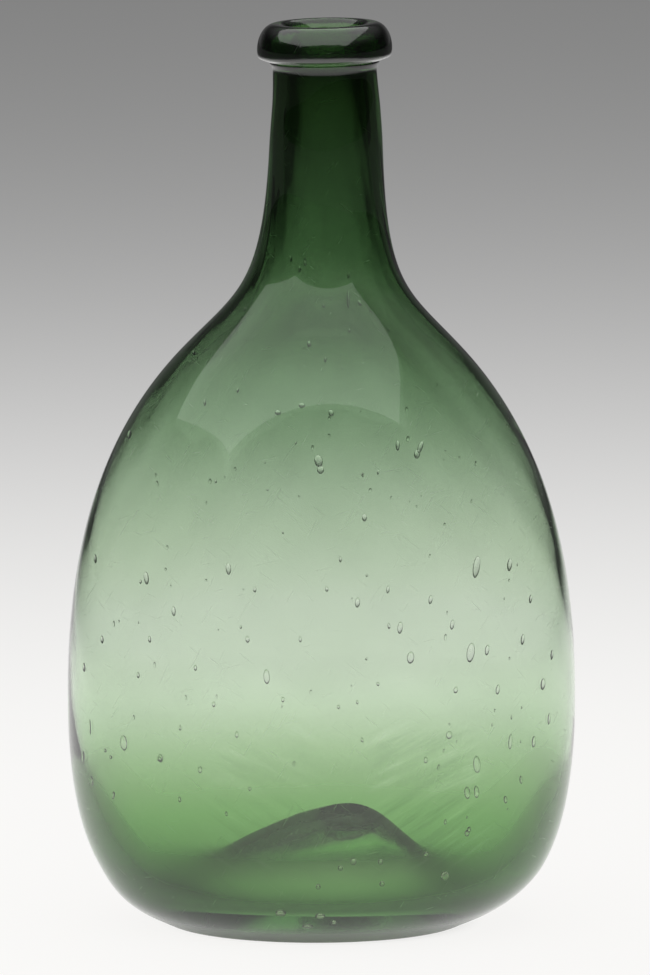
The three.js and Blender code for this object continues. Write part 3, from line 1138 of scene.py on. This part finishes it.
@dataclass(frozen=True)
class FlaskBody:
    """The blown body: bulb, neck and pushed-up base in one closed wall."""

    form: BlownForm
    hand: Hand
    name: str = "blown_body"
    turn_steps: int = 180
    table: RingTable = RingTable(0.12 * MM, 0.9 * MM, 0.3 * MM, 1.9 * MM, math.radians(2.2))
    soft_below_seat: Span = (8.0 * MM, 4.0 * MM)
    least_across: float = 10.0 * MM
    hollow_dull: float = 0.1
    foot_dull: float = 0.6
    foot_rise: Span = (0.0, 7.0 * MM)
    hollow_rise: Span = (4.0 * MM, 11.0 * MM)
    stain_dull: float = 0.4
    stain_rise: Span = (20.0 * MM, 32.0 * MM)
    stain_reach: Span = (18.0 * MM, 30.0 * MM)
    stain_ends: Span = (0.72, 0.93)
    stain_climb: float = 16.0 * MM

    def rings(self) -> tuple[np.ndarray, int]:
        """The whole wall's rings with soft foot and pad, and how many of them are outside."""
        low, high = (self.form.sizes.seat_height - below for below in self.soft_below_seat)
        tables = []
        for part in (np.vstack([self.form.underside(), self.form.outside()]), self.form.inside()):
            softness = 1.0 - ease(part[:, Column.HEIGHT], low, high)
            tables.append(self.table.thinned(self.table.softened(part, softness)))
        return np.vstack(tables), len(tables[0])

    def dullness(self, rings: np.ndarray, outer_count: int) -> np.ndarray:
        """How dull the glass is at each point: rough under the base, worn at the foot and stained inside.

        Args:
            rings: the wall's rings.
            outer_count: how many of them are outside.

        Returns:
            One number a point.
        """
        height = rings[:, Column.HEIGHT]
        number = np.arange(len(rings))
        under = number < np.argmin(height[:outer_count])
        valley = outer_count + np.argmin(height[outer_count:])
        wear = self.foot_dull * (1.0 - ease(height, *self.foot_rise))
        wear += self.foot_dull * (1.0 - ease(height, *self.hollow_rise)) * under
        on_floor = ease(rings[:, Column.HALF_WIDTH], *self.stain_reach) * (number > valley)
        even = np.maximum(np.maximum(self.hollow_dull * under, wear), self.stain_dull * on_floor)
        angle = np.arange(self.turn_steps) * (2 * math.pi / self.turn_steps)
        climbed = height[:, None] - self.stain_climb * ease(np.abs(np.cos(angle)), *self.stain_ends)
        side = ((number >= outer_count) & (number <= valley))[:, None]
        on_side = side * (1.0 - ease(climbed, *self.stain_rise))
        dull = np.maximum(even[:, None], self.stain_dull * on_side)
        return np.concatenate([dull[1:-1].ravel(), dull[[0, -1], 0]])

    def shell(self, rings: np.ndarray, outer_count: int) -> Shell:
        """The wall as a surface, with an uneven inside and a neck that meets the askew lip.

        Args:
            rings: the wall's rings.
            outer_count: how many of them are outside.

        Returns:
            The surface.
        """
        shell = Shell.turned(rings, self.turn_steps, Closure.POLES)
        points = shell.points.copy()
        inner = points[(outer_count - 1) * self.turn_steps:-2]
        swell = self.hand.inner_swell(inner)
        across = np.hypot(inner[:, 0], inner[:, 1])
        inner[:, :2] *= (1.0 - swell / np.maximum(across, self.least_across))[:, None]
        return shell.moved(self.hand.askew(points))

    def seeds(self) -> Shell:
        """The bubbles in the wall."""
        inside = self.form.inside()
        valley = np.argmin(inside[:, Column.HEIGHT])
        field = SeedField(self.form.outside(), inside[:valley])
        return field.shell(SEEDS + FineSeeds().seeds(self.form.sizes))

    def build(self, glass: bpy.types.Material) -> bpy.types.Object:
        """Makes the piece.

        Args:
            glass: its material.

        Returns:
            The piece.
        """
        rings, outer_count = self.rings()
        shell = self.shell(rings, outer_count).joined(self.seeds())
        piece = shell.to_object(self.name, glass, self.dullness(rings, outer_count))
        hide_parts("flask_body")
        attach(piece, "root")
        return piece


@dataclass(frozen=True)
class LaidLip:
    """The ring of glass laid round the neck's cut end."""

    form: BlownForm
    hand: Hand
    name: str = "laid_lip"
    turn_steps: int = 180
    table: RingTable = RingTable(0.06 * MM, 0.35 * MM, 0.15 * MM, 0.8 * MM, math.radians(4.0))
    soft_above_seat: float = 0.5 * MM
    sink: float = 0.03 * MM
    edge_inset: float = 0.7 * MM
    edge_rise: float = 0.9 * MM
    drop: float = 6.8 * MM
    crest_radius: float = 12.0 * MM
    crest_land: float = 1.2 * MM
    land_steps: int = 40
    mouth_depth: float = 5.0 * MM
    edge_pulls: Span = (1 / 3, 1 / 3)
    crown_pulls: Span = (0.6, 0.52)
    mouth_pulls: Span = (0.6, 0.5)

    def profile(self) -> np.ndarray:
        """The lip's section, as radius and height, from the bore at the seat round the outside and back."""
        s, share = self.form.sizes, self.form.share
        low_inner = np.array([s.bore_radius, s.seat_height - self.sink])
        low_outer = np.array([s.neck_top_radius + self.form.cove_flare, s.seat_height - self.sink])
        edge = np.array([s.lip_radius - self.edge_inset, s.seat_height + self.edge_rise])
        widest = np.array([s.lip_radius, s.flask_height - self.drop])
        crest_outer = np.array([self.crest_radius + self.crest_land / 2, s.flask_height])
        crest_inner = np.array([self.crest_radius - self.crest_land / 2, s.flask_height])
        mouth_low = np.array([s.bore_radius, s.flask_height - self.mouth_depth])
        crown_spans = (self.drop, s.lip_radius - crest_outer[0])
        mouth_spans = (crest_inner[0] - s.bore_radius, self.mouth_depth)
        under = Sweep.between(edge, OUT, widest, UP, (widest[1] - edge[1],) * 2, self.edge_pulls)
        crown = Sweep.between(widest, UP, crest_outer, -OUT, crown_spans, self.crown_pulls)
        mouth = Sweep.between(crest_inner, -OUT, mouth_low, -UP, mouth_spans, self.mouth_pulls)
        way = share[:, None]
        stages = [lerp(low_inner, low_outer, way), lerp(low_outer, edge, way)[1:], under.points(share)[1:]]
        stages += [crown.points(share)[1:], np.linspace(crest_outer, crest_inner, self.land_steps)[1:]]
        stages += [mouth.points(share)[1:], lerp(mouth_low, low_inner, way)[1:]]
        return np.vstack(stages)

    def shell(self) -> Shell:
        """The lip as a surface, askew on the neck."""
        sizes = self.form.sizes
        rings = self.form.wall_rings(self.profile())
        softness = ease(rings[:, Column.HEIGHT], sizes.seat_height, sizes.seat_height + self.soft_above_seat)
        rings = self.table.thinned(self.table.softened(rings, softness))[:-1]
        shell = Shell.turned(rings, self.turn_steps, Closure.LOOP)
        return shell.moved(self.hand.askew(shell.points))

    def build(self, glass: bpy.types.Material) -> bpy.types.Object:
        """Makes the piece.

        Args:
            glass: its material.

        Returns:
            The piece.
        """
        piece = self.shell().to_object(self.name, glass)
        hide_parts("applied_lip")
        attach(piece, "root")
        return piece


@dataclass(frozen=True)
class BrokenScar:
    """The rough button of glass under the pushed-up base."""

    form: BlownForm
    name: str = "broken_scar"
    turn_steps: int = 96
    ring_count: int = 22
    sink: float = 0.03 * MM
    depth: float = 2.4 * MM
    roughness: float = 0.5 * MM
    whole_top: float = 0.3 * MM
    smooth_middle: Span = (0.0, 0.3)
    chips: tuple[Wave, ...] = (
        Wave(3, 4.0, 0.0, 1 / 2), Wave(7, -8.0, 0.0, 1 / 4), Wave(11, 5.0, math.pi / 2, 1 / 4),
        Wave(17, 21.0, 0.0, 1 / 6))

    def shell(self) -> Shell:
        """The button as a surface.

        Formula: its underside hangs below the pad by depth times (1 - across squared / 2), and waves of
        several lengths round and across it break the surface up.

        Returns:
            The surface, flat on top.
        """
        sizes = self.form.sizes
        low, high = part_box("pontil_scar")
        radius = (high.x - low.x) / 2
        middle = float(self.form.middle_at(sizes.kick_height)) + sizes.kick_shift
        across = np.linspace(0.0, 1.0, self.ring_count)
        hang = sizes.kick_height - self.depth * (1 - across ** 2 / 2)
        under = np.stack([radius * across, radius * across, middle + 0 * across, hang], axis=1)
        top = sizes.kick_height + self.sink
        cap = np.array([[radius, radius, middle, top], [0.0, 0.0, middle, top]])
        shell = Shell.turned(np.vstack([under, cap]), self.turn_steps, Closure.POLES)
        points = shell.points.copy()
        broken = points[:, 2] < sizes.kick_height - self.whole_top
        angle = np.arctan2(points[:, 1], points[:, 0] - middle)
        out = np.hypot(points[:, 1], points[:, 0] - middle) / radius
        chips = Wave.summed(self.chips, angle, out) * ease(out, *self.smooth_middle)
        points[:, 2] += np.where(broken, self.roughness * chips, 0.0)
        return shell.moved(points)

    def build(self, glass: bpy.types.Material) -> bpy.types.Object:
        """Makes the piece.

        Args:
            glass: its material.

        Returns:
            The piece.
        """
        piece = self.shell().to_object(self.name, glass)
        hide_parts("pontil_scar")
        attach(piece, "root")
        return piece


@dataclass(frozen=True)
class Softbox:
    """A softbox that reflections show and the camera doesn't, turned in degrees from facing straight down."""

    name: str = "overhead_softbox"
    place: Triple = (-0.395, -0.259, 0.65)
    turn: Triple = (2.7, 8.4, 17.7)
    width: float = 1.5
    height: float = 1.11
    radiance: float = 0.65

    def build(self) -> None:
        """Hangs it up."""
        lamp = bpy.data.lights.new(self.name, "AREA")
        lamp.shape = "RECTANGLE"
        lamp.size, lamp.size_y = self.width, self.height
        lamp.energy = self.radiance * math.pi * self.width * self.height
        box = linked(self.name, lamp)
        box.location = self.place
        box.rotation_euler = tuple(math.radians(angle) for angle in self.turn)
        box.visible_camera = False


@dataclass(frozen=True)
class Studio:
    """The pale table, the lamp, the world and the camera. Lengths in metres."""

    lamp: Softbox = Softbox()
    floor_reach: float = 12.0
    floor_gap: float = 0.02 * MM
    floor_paleness: float = 0.92
    far_radiance: float = 0.162
    near_radiance: float = 0.835
    floor_colour: Colour = (1.0, 0.992, 0.978, 1.0)
    edge_radiance: float = 0.015
    fade_distance: float = 0.87
    fade_power: float = 2.7
    side_fade: Span = (0.2, 0.75)
    front_fade: Span = (0.35, 1.1)
    shade_fade: Span = (0.026, 0.042)
    shade_shares: Span = (0.4, 0.1)
    shade_depth_share: float = 0.72

    room_radiance: float = 0.015
    overhead_radiance: float = 0.2
    overhead_up: Span = (0.25, 0.8)
    horizon_radiance: float = 0.11
    horizon_back: Span = (0.6, 0.97)
    horizon_up: Span = (0.0, 0.45)
    front_radiance: float = 0.02
    front_ahead: Span = (0.2, 0.9)
    fill_radiance: float = 0.45

    camera_place: Triple = (0.9 * MM, -2.0, 439.2 * MM)
    camera_pitch: float = math.radians(9.305)
    camera_lens: float = 297.16

    def seen(self, bench: Bench) -> Wire:
        """1 for rays from the camera, a reflection or a refraction, and 0 for the others."""
        path = bench.add("ShaderNodeLightPath")
        first = bench.wire(path, "Is Camera Ray").most(bench.wire(path, "Is Glossy Ray"))
        return first.most(bench.wire(path, "Is Transmission Ray"))

    def glow(self, x: Wire, y: Wire) -> Wire:
        """The table's brightness at a place.

        Formula: far radiance + near radiance / (1 + (distance behind / fade distance) ^ fade power), eased
        down to the edge radiance past the table's sides and front.

        Args:
            x: how far to the right the place is.
            y: how far behind the flask's middle it is.

        Returns:
            The brightness.
        """
        behind = y.most(0.0) / self.fade_distance
        strength = self.far_radiance + self.near_radiance / (1.0 + behind ** self.fade_power)
        side = ((x * x) ** 0.5).step(self.side_fade)
        front = (y * -1.0).step(self.front_fade)
        return self.edge_radiance + (strength - self.edge_radiance) * ((1.0 - side) * (1.0 - front))

    def floor_material(self) -> bpy.types.Material:
        """Pale near the flask and grey far behind it. From below it is clear.

        Under the flask it takes its brightness from the lamp, so that the glass shades it.

        Returns:
            The material.
        """
        material = bpy.data.materials.new("pale_table")
        bench = Bench(material)
        x, y, _ = bench.place().axes()
        glow = self.glow(x, y)
        tone = glow.mix(WHITE, self.floor_colour)
        glowing = bench.add("ShaderNodeEmission", sockets={"Color": tone, "Strength": glow})
        plain = bench.add("ShaderNodeBsdfDiffuse", sockets={"Color": (*(self.floor_paleness,) * 3, 1.0)})
        near, far = self.shade_shares
        deep = y / self.shade_depth_share
        shaded = near + (far - near) * ((x * x + deep * deep) ** 0.5).step(self.shade_fade)
        share = 1.0 - self.seen(bench) * (1.0 - shaded)
        lit = bench.add("ShaderNodeMixShader", sockets={0: share, 1: glowing, 2: plain})
        below = bench.wire(bench.add("ShaderNodeNewGeometry"), "Backfacing")
        clear = bench.add("ShaderNodeBsdfTransparent")
        surface = bench.add("ShaderNodeMixShader", sockets={0: below, 1: lit, 2: clear})
        bench.add("ShaderNodeOutputMaterial", sockets={"Surface": surface})
        return material

    def floor(self) -> None:
        """The table, a single face just under the flask."""
        reach = self.floor_reach
        mesh = bpy.data.meshes.new("pale_table")
        corners = [(-reach, -reach), (reach, -reach), (reach, reach), (-reach, reach)]
        mesh.from_pydata([(x, y, -self.floor_gap) for x, y in corners], [], [(0, 1, 2, 3)])
        mesh.materials.append(self.floor_material())
        linked("pale_table", mesh)

    def world(self) -> None:
        """A dim room: dark beside the table, grey behind it and overhead."""
        world = bpy.data.worlds.new("dim_room")
        bpy.context.scene.world = world
        bench = Bench(world)
        _, back, up = bench.place("Generated").axes()
        behind = back.step(self.horizon_back) * (1.0 - up.step(self.horizon_up))
        front = (back * -1.0).step(self.front_ahead)
        overhead = up.step(self.overhead_up)
        room = self.room_radiance + behind * self.horizon_radiance + front * self.front_radiance
        room = room + overhead * self.overhead_radiance
        seen = self.seen(bench)
        strength = seen * room + (1.0 - seen) * self.fill_radiance
        background = bench.add("ShaderNodeBackground", sockets={"Strength": strength})
        bench.add("ShaderNodeOutputWorld", sockets={"Surface": background})

    def camera(self) -> None:
        """The camera, a long lens a little above the flask's mouth."""
        lens = bpy.data.cameras.new("long_lens")
        lens.lens = self.camera_lens
        camera = linked("long_lens", lens)
        camera.location = self.camera_place
        camera.rotation_euler = (math.pi / 2 - self.camera_pitch, 0.0, 0.0)
        bpy.context.scene.camera = camera

    def build(self) -> None:
        """Sets up the studio."""
        self.camera()
        self.floor()
        self.world()
        self.lamp.build()


def main() -> None:
    """Builds the flask and its studio."""
    logging.basicConfig(level=logging.INFO, format="%(name)s: %(message)s")
    bpy.context.scene.view_settings.view_transform = "Standard"
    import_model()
    sizes = FlaskSizes.from_frame()
    form, hand = BlownForm(sizes), Hand(sizes)
    Studio().build()
    lip_glass = Glass("bottle_glass_lip", polish=0.1, skin=1.0, skin_ior=1.75, ripple=0.9,
                      ripple_scale=(500.0, 500.0, 600.0))
    pieces = (
        (FlaskBody(form, hand), Glass("bottle_glass_body")),
        (LaidLip(form, hand), lip_glass),
        (BrokenScar(form), Glass("bottle_glass_scar", polish=0.35)),
    )
    for maker, glass in pieces:
        piece = maker.build(glass.material(sizes.flask_height))
        LOG.info("made %s with %d faces", piece.name, len(piece.data.polygons))


if __name__ == "__main__":
    main()
